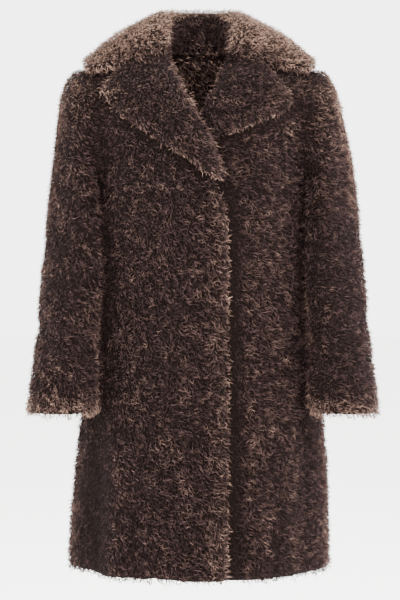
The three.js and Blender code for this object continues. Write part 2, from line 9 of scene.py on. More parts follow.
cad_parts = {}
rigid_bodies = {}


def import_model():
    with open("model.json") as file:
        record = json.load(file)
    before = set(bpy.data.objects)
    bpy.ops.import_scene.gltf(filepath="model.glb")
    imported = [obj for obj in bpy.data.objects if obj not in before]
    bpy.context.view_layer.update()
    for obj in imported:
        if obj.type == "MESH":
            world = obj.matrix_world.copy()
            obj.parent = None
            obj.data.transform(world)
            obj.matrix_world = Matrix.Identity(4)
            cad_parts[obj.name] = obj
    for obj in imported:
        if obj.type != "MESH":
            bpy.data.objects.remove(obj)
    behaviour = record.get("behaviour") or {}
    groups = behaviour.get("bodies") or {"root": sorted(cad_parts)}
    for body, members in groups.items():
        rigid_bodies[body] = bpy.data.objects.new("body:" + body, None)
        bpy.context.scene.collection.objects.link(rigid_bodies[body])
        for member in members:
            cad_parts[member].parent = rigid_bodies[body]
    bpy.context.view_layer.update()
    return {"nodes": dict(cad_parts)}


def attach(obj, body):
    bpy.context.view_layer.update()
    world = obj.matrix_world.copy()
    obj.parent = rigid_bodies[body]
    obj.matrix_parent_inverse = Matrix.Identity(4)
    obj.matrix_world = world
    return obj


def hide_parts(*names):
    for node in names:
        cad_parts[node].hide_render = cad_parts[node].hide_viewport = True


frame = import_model()

mm = 0.001


def linear(hexColour):  # sRGB hex to linear RGBA
    parts = [int(hexColour[i:i + 2], 16) / 255 for i in (1, 3, 5)]
    return [p / 12.92 if p <= 0.04045 else ((p + 0.055) / 1.055) ** 2.4 for p in parts] + [1]


# Camera at the photograph's height and distance
view = {
    "distance": 2.7, "height": -0.33, "centreX": 0.00175, "lowerBy": 0.0952,  # metres
    "mmPerPixel": 1.75, "pixelsHigh": 600, "sensorMm": 36,
}
frameHeight = view["pixelsHigh"] * view["mmPerPixel"] * mm
camera = bpy.data.objects.new("camera", bpy.data.cameras.new("camera"))
bpy.context.scene.collection.objects.link(camera)
camera.location = (view["centreX"], -view["distance"], view["height"])
camera.rotation_euler = (math.pi / 2, 0, 0)
camera.data.sensor_fit = "AUTO"
camera.data.sensor_width = view["sensorMm"]
camera.data.lens = view["sensorMm"] * view["distance"] / frameHeight
camera.data.shift_y = -view["lowerBy"] / frameHeight
bpy.context.scene.camera = camera
print("camera ready")


# One node of a tree, with its settings and what feeds its inputs
def addNode(tree, kind, settings=None, inputs=None):
    node = tree.nodes.new(kind)
    for name, value in (settings or {}).items():
        setattr(node, name, value)
    for key, value in (inputs or {}).items():
        if isinstance(value, bpy.types.NodeSocket):
            tree.links.new(value, node.inputs[key])
        else:
            node.inputs[key].default_value = value
    return node


def newMaterial(name, **values):  # a Principled surface with plain values on its own sockets
    material = bpy.data.materials.new(name)
    material.use_nodes = True
    shader = material.node_tree.nodes["Principled BSDF"]
    for key, value in values.items():
        shader.inputs[key].default_value = value
    return material, material.node_tree, shader


# Acrylic faux fur: heat-curled matt fibres, dark at the roots and paler at the worn tips, with painted highlight and
# painted shade laid on from the shells' shares
pileLook = {
    "root": "#050201", "body": "#180c0a", "tip": "#4d3b34", "paleTipAndHighlight": "#866c5c", "plum": "#281a1d",
    "patchMm": 38, "clumpMm": 12, "roughness": 0.85, "specular": 0.12,
    # how much each part moves the colour on its way from root to the palest stop: the rim and pale shares add painted
    # highlight and the tamped share painted shade
    "alongLock": 0.4, "lockTone": 0.34, "patch": 0.32, "clump": 0.55, "rim": 0.08, "pale": 0.42, "tampedAndShaded": -0.17,
    "stops": (0.35, 0.61, 0.84, 1.09),  # where root, body, tip and the palest stop lie; the palest stop is both the paler tip colour and painted highlight
    "plumShare": 0.42,  # how far the palest locks turn to plum
}


def pileMaterial(name, look):
    material, tree, shader = newMaterial(name, **{"Roughness": look["roughness"],
                                                 "Specular IOR Level": look["specular"]})
    place = addNode(tree, "ShaderNodeTexCoord")
    patch = addNode(tree, "ShaderNodeTexNoise", {"noise_dimensions": "3D"},
                    {"Vector": place.outputs["Object"], "Scale": 1 / (look["patchMm"] * mm), "Detail": 2})
    clump = addNode(tree, "ShaderNodeTexNoise", {"noise_dimensions": "3D"},
                    {"Vector": place.outputs["Object"], "Scale": 1 / (look["clumpMm"] * mm), "Detail": 1})
    spreadClump = addNode(tree, "ShaderNodeMath", {"operation": "SUBTRACT"}, {0: clump.outputs["Fac"], 1: 0.5})
    readers = {title: addNode(tree, "ShaderNodeAttribute", {"attribute_name": title}).outputs["Fac"]
               for title in ("tipShare", "lockTone", "rimShare", "paintedHighlightShare", "tampedShare")}
    tone = readers["lockTone"]
    share = addNode(tree, "ShaderNodeMath", {"operation": "MULTIPLY"},
                    {0: readers["tipShare"], 1: look["alongLock"]})
    for part, weight in ((tone, look["lockTone"]), (patch.outputs["Fac"], look["patch"]),
                         (spreadClump.outputs[0], look["clump"]), (readers["rimShare"], look["rim"]),
                         (readers["paintedHighlightShare"], look["pale"]), (readers["tampedShare"], look["tampedAndShaded"])):
        share = addNode(tree, "ShaderNodeMath", {"operation": "MULTIPLY_ADD"}, {0: part, 1: weight, 2: share.outputs[0]})
    ramp = addNode(tree, "ShaderNodeValToRGB", inputs={"Fac": share.outputs[0]})
    stops = ramp.color_ramp.elements
    first, second, third, last = look["stops"]
    stops[0].position, stops[0].color = first, linear(look["root"])
    stops[1].position, stops[1].color = last, linear(look["paleTipAndHighlight"])
    stops.new(second).color = linear(look["body"])
    stops.new(third).color = linear(look["tip"])
    hue = addNode(tree, "ShaderNodeMix", {"data_type": "RGBA", "blend_type": "MIX"},
                  {"A": ramp.outputs["Color"], "B": linear(look["plum"])})
    pick = addNode(tree, "ShaderNodeMath", {"operation": "MULTIPLY"}, {0: tone, 1: look["plumShare"]})
    tree.links.new(pick.outputs[0], hue.inputs["Factor"])
    tree.links.new(hue.outputs["Result"], shader.inputs["Base Color"])
    return material


# Knitted backing with a felted underfur: near-black between the locks
backingLook = {"dark": "#030100", "pale": "#130805", "fuzzMm": 4, "bump": 0.6, "bumpMm": 1.5}


def backingMaterial(look):
    material, tree, shader = newMaterial("knitted_backing_underfur",
                                         **{"Roughness": 0.95, "Specular IOR Level": 0.1})
    place = addNode(tree, "ShaderNodeTexCoord")
    fuzz = addNode(tree, "ShaderNodeTexNoise",
                   inputs={"Vector": place.outputs["Object"], "Scale": 1 / (look["fuzzMm"] * mm), "Detail": 3})
    ramp = addNode(tree, "ShaderNodeValToRGB", inputs={"Fac": fuzz.outputs["Fac"]})
    ramp.color_ramp.elements[0].color = linear(look["dark"])
    ramp.color_ramp.elements[1].color = linear(look["pale"])
    tree.links.new(ramp.outputs["Color"], shader.inputs["Base Color"])
    bump = addNode(tree, "ShaderNodeBump", inputs={"Strength": look["bump"], "Distance": look["bumpMm"] * mm,
                                                   "Height": fuzz.outputs["Fac"]})
    tree.links.new(bump.outputs["Normal"], shader.inputs["Normal"])
    return material


# Polyester satin lining: smooth dark brown, its gleam dulled by handling, with a fine twill drawn 2 mm wide to show
liningLook = {"dark": "#120a08", "pale": "#1c120e", "twillMm": 2}
waveBandsPerUnit = 20  # of the wave node at scale 1


def liningMaterial(look):
    material, tree, shader = newMaterial("polyester_satin_lining",
                                         **{"Roughness": 0.65, "Specular IOR Level": 0.06})
    place = addNode(tree, "ShaderNodeTexCoord")
    twill = addNode(tree, "ShaderNodeTexWave", {"bands_direction": "DIAGONAL"},
                    {"Vector": place.outputs["Object"], "Scale": 1 / (look["twillMm"] * mm) / waveBandsPerUnit,
                     "Distortion": 0.4, "Detail": 1})
    tone = addNode(tree, "ShaderNodeMix", {"data_type": "RGBA"},
                   {"A": linear(look["dark"]), "B": linear(look["pale"]), "Factor": twill.outputs["Fac"]})
    tree.links.new(tone.outputs["Result"], shader.inputs["Base Color"])
    return material


pile = pileMaterial("acrylic_faux_fur_pile", pileLook)
backing = backingMaterial(backingLook)
lining = liningMaterial(liningLook)
print("materials ready")

# The cloth: thin closed shells inside the solids, with the pile's height left free on their fur side
cloth = {
    "joinWithin": 0.02 * mm,  # corners of the solids' loose triangles
    "smoothTimes": 8, "smoothShare": 0.6, "rimKept": 0.8,
    "leastWall": 2.5 * mm, "sheetWall": 17 * mm, "rimWall": 34 * mm,  # a wall is a rim where it reads this deep
    "coveredWithin": 4 * mm,  # no pile where a neighbour lies this close over the fur
    "seamWithin": 0.5 * mm, "seamPush": 5 * mm, "gorgeEnd": 8,
    "rimReach": 16 * mm, "rimBack": 2.5,
    "deepCrease": 8 * mm, "tampedSink": 4 * mm, "tampedAndShadedNear": 5 * mm, "tampedAndShadedFar": 21 * mm,
    "besideFar": 30 * mm, "besideShare": 0.7,
    "leadPale": 0.2, "wrappedKeep": 0.7,
}
# Lines in mm down the middle of the body and shoulders and of a left sleeve
bodyAxis = [((0, -8, -891), (0, -5, -110)), ((-150, 0, -112), (150, 0, -112))]
sleeveAxis = [((192, 0, -125), (212, -15, -255)), ((212, -15, -255), (222, -60, -450)),
              ((222, -60, -450), (232, -101, -616))]


# The vectors from the nearest point of some segments to each point
def awayFrom(segments, points):
    best = None
    for a, b in segments:
        a, b = np.array(a) * mm, np.array(b) * mm
        t = np.clip(((points - a) @ (b - a)) / ((b - a) @ (b - a)), 0, 1)
        away = points - (a + t[:, None] * (b - a))
        size = np.linalg.norm(away, axis=1)
        if best is None:
            best, least = away, size
        else:
            nearer = size < least
            best[nearer], least[nearer] = away[nearer], size[nearer]
    return best / np.linalg.norm(best, axis=1)[:, None]


def axisOf(node):
    if not node.startswith("sleeve"):
        return bodyAxis
    sign = -1 if node.endswith("right") else 1
    return [tuple((sign * x, y, z) for x, y, z in ends) for ends in sleeveAxis]


def meshArrays(mesh):
    points = np.empty(len(mesh.vertices) * 3)
    mesh.vertices.foreach_get("co", points)
    normals = np.empty(len(mesh.vertices) * 3)
    mesh.vertices.foreach_get("normal", normals)
    return points.reshape(-1, 3), normals.reshape(-1, 3)


def joinedCopy(node):
    mesh = frame["nodes"][node].data.copy()
    work = bmesh.new()
    work.from_mesh(mesh)
    bmesh.ops.remove_doubles(work, verts=work.verts, dist=cloth["joinWithin"])
    work.to_mesh(mesh)
    work.free()
    return mesh


cadMeshes = {node: joinedCopy(node) for node in frame["nodes"]}


def treeOf(nodes):
    points, faces = [], []
    for node in nodes:
        mesh = cadMeshes[node]
        start = len(points)
        points += [v.co.copy() for v in mesh.vertices]
        faces += [[start + i for i in p.vertices] for p in mesh.polygons]
    return BVHTree.FromPolygons(points, faces)


def wallThickness(tree, points, normals):  # how deep the wall is straight behind each point
    farthest, start = 0.2, 0.3 * mm
    depth = np.full(len(points), farthest)
    for i, (p, n) in enumerate(zip(points, normals)):
        hit = tree.ray_cast(Vector(p - n * start), Vector(-n), farthest)
        if hit[3] is not None:
            depth[i] = hit[3] + start
    return depth


def distanceTo(tree, points):
    return np.array([tree.find_nearest(Vector(p))[3] for p in points])


def nearestOn(tree, points):
    return np.array([tree.find_nearest(Vector(p))[0] for p in points])


def isCovered(tree, points, normals, within):
    return np.array([tree.ray_cast(Vector(p + n * 0.2 * mm), Vector(n), within)[3] is not None
                     for p, n in zip(points, normals)])


def smoothStep(low, high, value):
    t = np.clip((value - low) / (high - low), 0, 1)
    return t * t * (3 - 2 * t)


# Creases: middle, reach along each axis and depth in mm, a trough where depth is above 0
creases = {
    "body": [((-178, -75, -770), (16, 70, 150), 8), ((-112, -115, -830), (14, 60, 110), 4),
             ((-145, -100, -840), (13, 60, 110), -4), ((-60, -130, -520), (50, 60, 16), 2),
             ((128, -100, -810), (15, 60, 130), 5), ((178, -65, -700), (16, 60, 120), 4),
             ((95, -120, -790), (14, 60, 110), -3), ((90, -120, -470), (50, 60, 16), 2),
             ((-95, 95, -790), (16, 60, 170), 7), ((72, 95, -810), (17, 60, 150), 6),
             ((-10, 100, -760), (22, 60, 160), -4), ((150, 60, -760), (18, 60, 130), 5),
             ((-40, 95, -330), (60, 50, 18), 3), ((60, 95, -290), (50, 50, 16), 3)],
    "sleeve_right": [((-262, -60, -330), (60, 60, 16), 5), ((-225, -110, -395), (60, 40, 14), 5),
                     ((-270, -70, -470), (50, 60, 18), 4), ((-205, -110, -500), (50, 40, 16), 4),
                     ((-230, 50, -360), (60, 50, 15), 4)],
    "sleeve_left": [((262, -60, -315), (60, 60, 16), 5), ((225, -105, -380), (60, 40, 14), 5),
                    ((275, -70, -455), (50, 60, 18), 4), ((210, -110, -520), (50, 40, 16), 4),
                    ((230, 50, -375), (60, 50, 15), 4)],
}


# Places with painted shade on shorter, sunk pile (the collar's notches, the sides by the sleeves, the lower left
# sleeve) or with painted highlight on the tips, as middle, reach and share
pressedAndShadedSpots = [((-160, -60, -40), (26, 70, 15), 1), ((150, -60, -54), (26, 70, 17), 1),
           ((-180, -75, -760), (26, 120, 150), 1), ((165, -75, -330), (16, 70, 130), 0.3),
           ((245, -60, -480), (60, 120, 100), 0.3)]
paintedHighlightSpots = {
    "lapel_right": [((-155, -80, -56), (26, 90, 20), 0.36)],
    "lapel_left": [((146, -80, -68), (26, 90, 24), 0.36)],
    "front_left": [((110, -110, -560), (70, 90, 330), 0.12)],
    "sleeve_right": [((-235, -60, -480), (60, 90, 110), 0.1)],
    "sleeve_left": [((235, -30, -180), (60, 90, 90), 0.14)],
}


# Where the fur runs on round the edge to the inner side, below the right lapel's point
wrappedFur = {"front_right": [((30, -130, -208), (22, 200, 28), 2)]}


def bumps(places, points):  # rounded bumps in mm, added up over the points
    total = np.zeros(len(points))
    for middle, reach, height in places:
        away = (points / mm - np.array(middle)) / np.array(reach)
        total += height * np.exp(-(away ** 2).sum(axis=1))
    return total


def creaseDepth(node, points):
    return bumps(creases[node if node.startswith("sleeve") else "body"], points) * mm


def spread(values, a, b, count, times, share=cloth["smoothShare"]):  # evens values out over a mesh's edges
    for _ in range(times):
        total = np.zeros_like(values)
        for axis in range(values.shape[1]):
            column = values[:, axis]
            total[:, axis] = np.bincount(a, column[b], len(values)) + np.bincount(b, column[a], len(values))
        values = values + share * (total / count - values)
    return values


def leadingEdge(points):  # the puffed strip along the right front's free edge, below the lapel
    x, z = points[:, 0] / mm, points[:, 2] / mm
    return smoothStep(12, 24, x) * (1 - smoothStep(-185, -150, z))


# Painted highlight on the tips, as shares: the collar's fall, the shoulders, the flanks, the edges and the cuffs, with
# painted fill light on the back neck facing
paintedHighlightWeights = {"fall": 0.66, "fallRise": 0.3, "gorge": 0.6, "flank": 0.22, "sleeveHead": 0.42, "cuff": 0.62,
         "lapelEdge": 0.28, "facing": 0.5, "shoulder": 0.36, "edge": 0.2}


def paintedHighlights(node, points, normals, outside, openRim):
    if node == "collar":
        # painted top light on the collar's fall, stronger towards its top
        fall = smoothStep(48 * mm, 60 * mm, np.abs(points[:, 0])) * smoothStep(0.05, 0.3, outside)
        fall = np.maximum(fall, smoothStep(0.7, 1, outside))
        # less painted highlight beside the lapels, so the gorge stays in shade
        gorge = 1 - smoothStep(0, 45 * mm, distanceTo(treeOf(["lapel_right", "lapel_left"]), points))
        rise = paintedHighlightWeights["fallRise"] * smoothStep(-30 * mm, 60 * mm, points[:, 2])
        return fall * (paintedHighlightWeights["fall"] + rise) * (1 - paintedHighlightWeights["gorge"] * gorge)
    # painted light from above on the upper parts, and from the side lamps on the flanks
    high = smoothStep(-190 * mm, -30 * mm, points[:, 2])
    flank = paintedHighlightWeights["flank"] * outside * smoothStep(0.78, 0.98, np.abs(normals[:, 0]))
    if node.startswith("sleeve"):
        cuff = 1 - smoothStep(-612 * mm, -560 * mm, points[:, 2])
        return flank + np.maximum(paintedHighlightWeights["sleeveHead"] * high, paintedHighlightWeights["cuff"] * cuff)
    if node.startswith("lapel"):
        return paintedHighlightWeights["lapelEdge"] * openRim
    # painted fill light over the facing, which lies in shade
    if node == "back_neck_facing":
        return np.full(len(points), paintedHighlightWeights["facing"])
    return flank + np.maximum(paintedHighlightWeights["shoulder"] * high, paintedHighlightWeights["edge"] * openRim)


def remeshed(node, name, voxel):  # an even mesh of a CAD node, as a new object
    obj = bpy.data.objects.new(name, cadMeshes[node].copy())
    bpy.context.scene.collection.objects.link(obj)
    remesh = obj.modifiers.new("remesh", "REMESH")
    remesh.mode, remesh.voxel_size = "VOXEL", voxel
    mesh = bpy.data.meshes.new_from_object(obj.evaluated_get(bpy.context.evaluated_depsgraph_get()))
    obj.modifiers.clear()
    obj.data = mesh
    mesh.name = name
    return obj


def tampedAndShadedShares(node, points, facts, deep):  # painted shade: darker pile under and beside other pieces and in creases, where the pile is also flattened shorter and sunk
    over = distanceTo(treeOf(facts["under"]), points) if facts["under"] else np.full(len(points), 1.0)
    tampedAndShaded = 1 - smoothStep(cloth["tampedAndShadedNear"], cloth["tampedAndShadedFar"], over)
    if facts["beside"]:
        near = 1 - smoothStep(0, cloth["besideFar"], distanceTo(treeOf(facts["beside"]), points))
        tampedAndShaded = np.maximum(tampedAndShaded, cloth["besideShare"] * near)
    # in creases the painted shade deepens with the crease's depth
    tampedAndShaded = np.maximum(tampedAndShaded, deep / cloth["deepCrease"])
    # painted shade at the listed spots on the fronts and sleeves
    if node.startswith(("front", "sleeve")):
        tampedAndShaded = np.maximum(tampedAndShaded, bumps(pressedAndShadedSpots, points))
    return np.clip(tampedAndShaded, 0, 1)


# A cloth shell from a CAD node, with the attributes that the pile reads
def makeShell(node, name, facts):
    obj = remeshed(node, name, facts["voxel"] * mm)
    mesh = obj.data
    points, normals = meshArrays(mesh)
    thickness = wallThickness(treeOf([node]), points, normals)
    rim = smoothStep(cloth["sheetWall"], cloth["rimWall"], thickness)
    edges = np.empty(len(mesh.edges) * 2, int)
    mesh.edges.foreach_get("vertices", edges)
    a, b = edges[0::2], edges[1::2]
    count = np.bincount(np.r_[a, b], minlength=len(points))[:, None]

    def spreadOut(values, times):
        return spread(values.astype(float)[:, None], a, b, count, times)[:, 0]

    # where the piece is sewn edge to edge to its neighbours it keeps its full size and reaches a little past them
    sewnTo = treeOf(facts["sewnTo"])
    atSeam = np.clip(3 * spreadOut(distanceTo(sewnTo, points) < facts["voxel"] * mm + cloth["seamWithin"], 2), 0, 1)
    if "seamEnd" in facts:  # past the gorge the edge is free
        end = facts["seamEnd"]
        atSeam *= 1 - smoothStep((end - cloth["gorgeEnd"]) * mm, end * mm, np.abs(points[:, 0]))
    # facets are smoothed away on the sheet and kept at the rims
    evened = cloth["smoothShare"] * ((1 - cloth["rimKept"] * rim) * (1 - atSeam))[:, None]
    points = spread(points, a, b, count, cloth["smoothTimes"], evened)
    mesh.vertices.foreach_set("co", points.ravel())
    mesh.update()
    points, normals = meshArrays(mesh)
    facing = (normals * awayFrom(axisOf(node), points)).sum(axis=1)
    outside = smoothStep(-0.2, 0.5, facing)
    if facts["side"] == "in":
        facing = -facing
    if facts["side"] == "both":
        facing = np.ones(len(points))
    covered = isCovered(treeOf([n for n in cadMeshes if n != node]), points, normals, cloth["coveredWithin"])
    wrapped = np.clip(bumps(wrappedFur.get(node, []), points), 0, 1)
    furred = np.maximum(smoothStep(-0.35, 0.1, facing), wrapped)
    steps = round(cloth["rimReach"] / (facts["voxel"] * mm)) ** 2
    openRim = np.clip(4 * spreadOut(rim * (1 - atSeam), steps), 0, 1)
    deep = creaseDepth(node, points)
    tampedAndShaded = tampedAndShadedShares(node, points, facts, deep)
    lead = leadingEdge(points) * outside if node == "front_right" else np.zeros(len(points))
    room = np.minimum(facts["pile"] * mm + cloth["tampedSink"] * tampedAndShaded, 0.5 * (thickness - cloth["leastWall"]))
    inset = np.maximum(0, room) * furred * (1 - rim)
    inset -= facts["rise"] * mm * np.maximum(openRim, lead) * (1 - rim) * furred
    inset *= 1 - atSeam
    towards = nearestOn(sewnTo, points) - points
    towards /= np.maximum(np.linalg.norm(towards, axis=1), 1e-6)[:, None]
    # the whole edge draws back from an open rim, lining and all, to leave room for its pile
    free = normals - towards * ((normals * towards).sum(axis=1) * atSeam)[:, None]
    back = spread(free * rim[:, None], a, b, count, 3)
    size = np.linalg.norm(back, axis=1)
    share = np.clip(cloth["rimBack"] * size, 0, 1) * (1 - cloth["wrappedKeep"] * wrapped)
    back *= (share / np.maximum(size, 1e-6))[:, None]
    outward = awayFrom(axisOf(node), points)
    moved = (points - normals * inset[:, None] - back * facts["pull"] * mm - outward * deep[:, None]
             + towards * (cloth["seamPush"] * atSeam)[:, None])
    mesh.vertices.foreach_set("co", moved.ravel())
    # painted highlight on the tips, along the leading edge as well
    pale = np.maximum(paintedHighlights(node, points, normals, outside, openRim), cloth["leadPale"] * lead)
    # painted highlight at the listed spots, on the outer side
    pale += bumps(paintedHighlightSpots.get(node, []), points) * outside
    # the pale share is painted highlight; the tamped share is painted shade as well as shorter, sunk pile
    for title, values in (("furShare", np.maximum(furred * ~covered, wrapped)), ("rimShare", openRim),
                          ("tampedShare", tampedAndShaded), ("paintedHighlightShare", pale)):
        mesh.attributes.new(title, "FLOAT", "POINT").data.foreach_set("value", values.astype(np.float32))
    mesh.materials.clear()
    mesh.materials.append(backing)
    mesh.materials.append(lining)
    # lining on the inner side alone, clear of the edges
    lined = (furred < 0.05) * (openRim < 0.3) * (atSeam < 0.3) if facts["lined"] else np.zeros(len(points))
    first = np.array([p.vertices[0] for p in mesh.polygons])
    mesh.polygons.foreach_set("material_index", lined[first].astype(int))
    mesh.polygons.foreach_set("use_smooth", np.ones(len(mesh.polygons), bool))
    mesh.update()
    return obj


# Lock shapes: the widest place and the tip as forward, sideways and up in shares of a lock's length, and the
# roll of its flat side in radians, so that some of them show their width from any side
lockWidth = 0.13
lockShapes = {
    "curlLeft": [(.34, .12, .46), (.68, -.06, .50), 0.8],
    "curlRight": [(.34, -.12, .46), (.68, .06, .50), -0.8],
    "standing": [(.16, .04, .48), (.42, .18, .78), 1.3],
    "leaning": [(.24, -.04, .40), (.58, -.22, .64), -1.2],
    "hook": [(.40, -.08, .42), (.54, -.42, .34), 0.5],
    "guard": [(.20, .05, .52), (.50, -.10, 1.0), 1.5],
    "flat": [(.44, .08, .36), (.92, .14, .36), -0.3],
}


def lockMesh(name, shape):
    (forward, side, high), tip, roll = shape
    across, rise = lockWidth / 2 * math.cos(roll), lockWidth / 2 * math.sin(roll)
    points = [(0, 0, 0), (forward, side - across, high - rise), (forward, side + across, high + rise), tip]
    mesh = bpy.data.meshes.new(name)
    mesh.from_pydata(points, [], [(0, 1, 2), (1, 3, 2)])
    mesh.attributes.new("tipShare", "FLOAT", "POINT").data.foreach_set("value", [0, 0.5, 0.5, 1])
    return mesh


lockFolder = bpy.data.collections.new("lockShapes")
bpy.context.scene.collection.children.link(lockFolder)
for title, shape in lockShapes.items():
    lockFolder.objects.link(bpy.data.objects.new("lock_" + title, lockMesh("lock_" + title, shape)))


mostLocks = 8e5  # for each square metre, before the least spacing thins them


# Geometry Nodes tree that grows curly locks on the furred side of a shell
def pileTree():
    tree = bpy.data.node_groups.new("curlyPile", "GeometryNodeTree")
    face = tree.interface
    face.new_socket("Geometry", in_out="INPUT", socket_type="NodeSocketGeometry")
    face.new_socket("Geometry", in_out="OUTPUT", socket_type="NodeSocketGeometry")
    for title, kind, default in (("Spacing", "NodeSocketFloat", 0.003), ("Lock Length", "NodeSocketFloat", 0.013),
                                 ("Spread", "NodeSocketFloat", 0.3), ("Swirl", "NodeSocketFloat", 1.6),
                                 ("Swirl Size", "NodeSocketFloat", 0.025), ("Lean", "NodeSocketFloat", 0.35),
                                 ("Rim Extra", "NodeSocketFloat", 0.3), ("Tamped Less", "NodeSocketFloat", 0.45),
                                 ("Wander", "NodeSocketFloat", 1.4), ("Seed", "NodeSocketInt", 1)):
        face.new_socket(title, in_out="INPUT", socket_type=kind).default_value = default
    face.new_socket("Locks", in_out="INPUT", socket_type="NodeSocketCollection")
    face.new_socket("Material", in_out="INPUT", socket_type="NodeSocketMaterial")
    given = addNode(tree, "NodeGroupInput").outputs
    furShare = addNode(tree, "GeometryNodeInputNamedAttribute", {"data_type": "FLOAT"}, {"Name": "furShare"})
    dots = addNode(tree, "GeometryNodeDistributePointsOnFaces", {"distribute_method": "POISSON"},
                   {"Mesh": given["Geometry"], "Distance Min": given["Spacing"], "Density Max": mostLocks,
                    "Density Factor": furShare.outputs["Attribute"], "Seed": given["Seed"]})
    normal = dots.outputs["Normal"]
    # down along the cloth, and outwards where the cloth lies level
    place = addNode(tree, "GeometryNodeInputPosition")
    flat = addNode(tree, "ShaderNodeVectorMath", {"operation": "MULTIPLY"}, {0: place.outputs[0], 1: (1.2, 1.2, 0)})
    hang = addNode(tree, "ShaderNodeVectorMath", {"operation": "ADD"}, {0: flat.outputs[0], 1: (0, 0, -1)})
    # neighbouring locks turn together in swirls, and each strays a little on its own
    perMetre = addNode(tree, "ShaderNodeMath", {"operation": "DIVIDE"}, {0: 1.0, 1: given["Swirl Size"]})
    swirl = addNode(tree, "ShaderNodeTexNoise", inputs={"Scale": perMetre.outputs[0], "Detail": 1})
    centred = addNode(tree, "ShaderNodeMath", {"operation": "MULTIPLY_ADD"}, {0: swirl.outputs["Fac"], 1: 4, 2: -2})
    back = addNode(tree, "ShaderNodeMath", {"operation": "MULTIPLY"}, {0: given["Wander"], 1: -1.0})
    wander = addNode(tree, "FunctionNodeRandomValue", {"data_type": "FLOAT"},
                     {"Min": back.outputs[0], "Max": given["Wander"], "Seed": given["Seed"]})
    turn = addNode(tree, "ShaderNodeMath", {"operation": "MULTIPLY_ADD"},
                   {0: centred.outputs[0], 1: given["Swirl"], 2: wander.outputs[1]})
    lay = addNode(tree, "ShaderNodeVectorRotate", {"rotation_type": "AXIS_ANGLE"},
                  {"Vector": hang.outputs[0], "Axis": normal, "Angle": turn.outputs[0]})
    tilt = addNode(tree, "FunctionNodeRandomValue", {"data_type": "FLOAT_VECTOR"},
                   {"Min": (-1, -1, -1), "Max": (1, 1, 1), "Seed": given["Seed"]})
    tilted = addNode(tree, "ShaderNodeVectorMath", {"operation": "MULTIPLY_ADD"},
                     {0: tilt.outputs[0], 1: given["Lean"], 2: normal})
    turned = addNode(tree, "FunctionNodeAxesToRotation", {"primary_axis": "Z", "secondary_axis": "X"},
                     {"Primary Axis": tilted.outputs[0], "Secondary Axis": lay.outputs[0]})
    least = addNode(tree, "ShaderNodeMath", {"operation": "SUBTRACT"}, {0: 1.0, 1: given["Spread"]})
    most = addNode(tree, "ShaderNodeMath", {"operation": "ADD"}, {0: 1.0, 1: given["Spread"]})
    size = addNode(tree, "FunctionNodeRandomValue", {"data_type": "FLOAT"},
                   {"Min": least.outputs[0], "Max": most.outputs[0], "Seed": given["Seed"]})
    # longer at the rims and shorter where the pile is tamped
    rim = addNode(tree, "GeometryNodeInputNamedAttribute", {"data_type": "FLOAT"}, {"Name": "rimShare"})
    longer = addNode(tree, "ShaderNodeMath", {"operation": "MULTIPLY_ADD"},
                     {0: rim.outputs["Attribute"], 1: given["Rim Extra"], 2: 1.0})
    scaled = addNode(tree, "ShaderNodeMath", {"operation": "MULTIPLY"}, {0: size.outputs[1], 1: longer.outputs[0]})
    tampedAndShaded = addNode(tree, "GeometryNodeInputNamedAttribute", {"data_type": "FLOAT"}, {"Name": "tampedShare"})
    less = addNode(tree, "ShaderNodeMath", {"operation": "MULTIPLY"},
                   {0: tampedAndShaded.outputs["Attribute"], 1: given["Tamped Less"]})
    left = addNode(tree, "ShaderNodeMath", {"operation": "SUBTRACT"}, {0: 1.0, 1: less.outputs[0]})
    scaled = addNode(tree, "ShaderNodeMath", {"operation": "MULTIPLY"}, {0: scaled.outputs[0], 1: left.outputs[0]})
    scaled = addNode(tree, "ShaderNodeMath", {"operation": "MULTIPLY"}, {0: scaled.outputs[0], 1: given["Lock Length"]})
    shapes = addNode(tree, "GeometryNodeCollectionInfo",
                     inputs={"Collection": given["Locks"], "Separate Children": True, "Reset Children": True})
    pick = addNode(tree, "FunctionNodeRandomValue", {"data_type": "INT"}, {"Min": 0, "Max": len(lockShapes) - 1})
    placed = addNode(tree, "GeometryNodeInstanceOnPoints",
                     inputs={"Points": dots.outputs["Points"], "Instance": shapes.outputs[0], "Pick Instance": True,
                             "Instance Index": pick.outputs[2], "Rotation": turned.outputs[0], "Scale": scaled.outputs[0]})
    tone = addNode(tree, "FunctionNodeRandomValue", {"data_type": "FLOAT"},
                   {"Min": 0.0, "Max": 1.0, "Seed": given["Seed"]})
    toned = addNode(tree, "GeometryNodeStoreNamedAttribute", {"data_type": "FLOAT", "domain": "INSTANCE"},
                    {"Geometry": placed.outputs[0], "Name": "lockTone", "Value": tone.outputs[1]})
    real = addNode(tree, "GeometryNodeRealizeInstances", inputs={"Geometry": toned.outputs[0]})
    smooth = addNode(tree, "GeometryNodeSetShadeSmooth", inputs={"Geometry": real.outputs[0]})
    painted = addNode(tree, "GeometryNodeSetMaterial",
                      inputs={"Geometry": smooth.outputs[0], "Material": given["Material"]})
    addNode(tree, "NodeGroupOutput", inputs={"Geometry": painted.outputs[0]})
    return tree


curlyPile = pileTree()
pileSizes = {"Spacing": 1.23 * mm, "Lock Length": 10 * mm, "Spread": 0.46, "Swirl": 1.2, "Swirl Size": 16 * mm,
             "Lean": 0.35, "Rim Extra": 0.2, "Tamped Less": 0.3, "Wander": 1.4}


